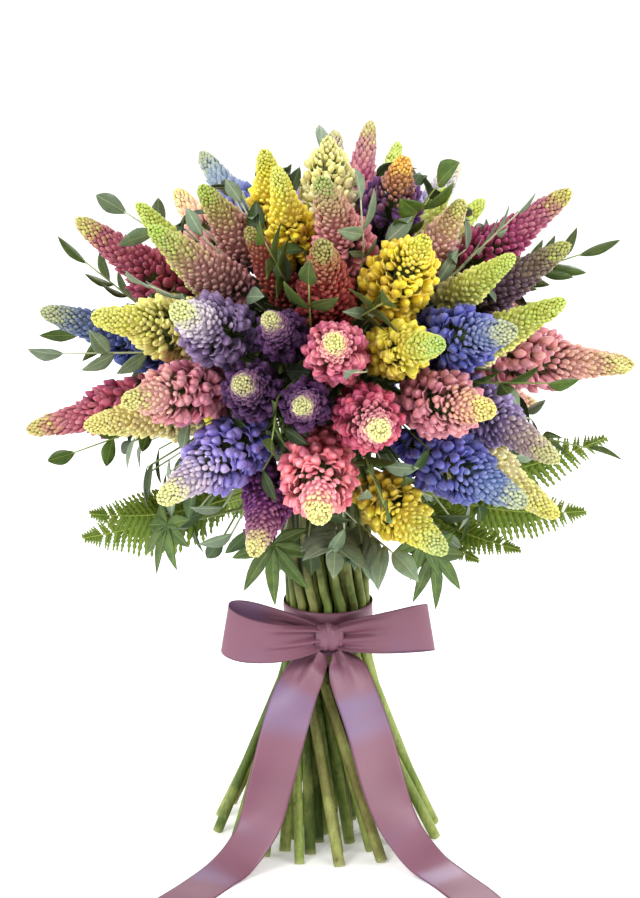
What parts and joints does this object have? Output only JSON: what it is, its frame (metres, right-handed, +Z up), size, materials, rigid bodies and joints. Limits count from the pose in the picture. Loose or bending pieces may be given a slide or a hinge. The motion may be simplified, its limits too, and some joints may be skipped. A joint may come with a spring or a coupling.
{
  "type": "lupin flower spike bouquet",
  "caption": "Hand-tied bouquet of many-coloured lupin flower spikes with ferns and leaves, standing on spiralled cut stems, bound with a satin ribbon band, bow and two trailing tails.",
  "frame": {"origin": "middle of the outline's bounding box, on the surface that the cut stems and the ribbon tails rest on", "axes": "+Z up through the tie and the flower head, the bow faces -Y, +X to the right of the bow as seen from the front"},
  "size_m": [0.4686, 0.5382, 0.5775],
  "materials": {
    "petals_rose": "matte",
    "petals_crimson": "matte",
    "petals_magenta": "matte",
    "petals_pink": "matte",
    "petals_salmon": "matte",
    "petals_dusty_pink": "matte",
    "petals_peach": "matte",
    "petals_rust": "matte",
    "petals_yellow": "matte",
    "petals_lemon": "matte",
    "petals_cream": "matte",
    "petals_lime": "matte",
    "petals_violet": "matte",
    "petals_lilac": "matte",
    "petals_blue": "matte",
    "petals_navy": "matte",
    "petals_plum": "matte",
    "petals_mauve": "matte",
    "fern_green": "matte",
    "leaf_green": "satin",
    "stem_green": "satin",
    "satin": "satin"
  },
  "bodies": {
    "root": {"lupin_rose_a": "petals_rose", "lupin_rose_b": "petals_rose", "lupin_back_rose": "petals_rose", "lupin_crimson_a": "petals_crimson", "lupin_crimson_b": "petals_crimson", "lupin_magenta": "petals_magenta", "lupin_pink_a": "petals_pink", "lupin_pink_b": "petals_pink", "lupin_pink_c": "petals_pink", "lupin_rosette": "petals_pink", "lupin_back_pink": "petals_pink", "lupin_salmon": "petals_salmon", "lupin_dusty_a": "petals_dusty_pink", "lupin_dusty_b": "petals_dusty_pink", "lupin_blush": "petals_dusty_pink", "lupin_peach": "petals_peach", "lupin_rust_a": "petals_rust", "lupin_rust_b": "petals_rust", "lupin_yellow_a": "petals_yellow", "lupin_yellow_c": "petals_yellow", "lupin_yellow_d": "petals_yellow", "lupin_yellow_e": "petals_yellow", "lupin_back_yellow": "petals_yellow", "lupin_lemon_a": "petals_lemon", "lupin_lemon_b": "petals_lemon", "lupin_cream_c": "petals_lemon", "lupin_cream_a": "petals_cream", "lupin_cream_b": "petals_cream", "lupin_back_cream": "petals_cream", "lupin_lime_a": "petals_lime", "lupin_lime_b": "petals_lime", "lupin_back_lime": "petals_lime", "lupin_violet": "petals_violet", "lupin_back_violet": "petals_violet", "lupin_lavender": "petals_lilac", "lupin_lilac_a": "petals_lilac", "lupin_lilac_b": "petals_lilac", "lupin_blue_a": "petals_blue", "lupin_blue_b": "petals_blue", "lupin_blue_c": "petals_blue", "lupin_back_blue": "petals_blue", "lupin_blue_d": "petals_navy", "lupin_plum": "petals_plum", "lupin_purple_a": "petals_plum", "lupin_dusk": "petals_plum", "lupin_mauve": "petals_mauve", "fern_left": "fern_green", "fern_right": "fern_green", "fern_low_right": "fern_green", "fern_back": "fern_green", "leaves_front": "leaf_green", "leaves_low_left": "leaf_green", "leaves_low_right": "leaf_green", "leaves_back": "leaf_green", "stems": "stem_green", "ribbon_band": "satin", "ribbon_bow": "satin", "ribbon_tail_left": "satin", "ribbon_tail_right": "satin"}
  },
  "joints": []
}
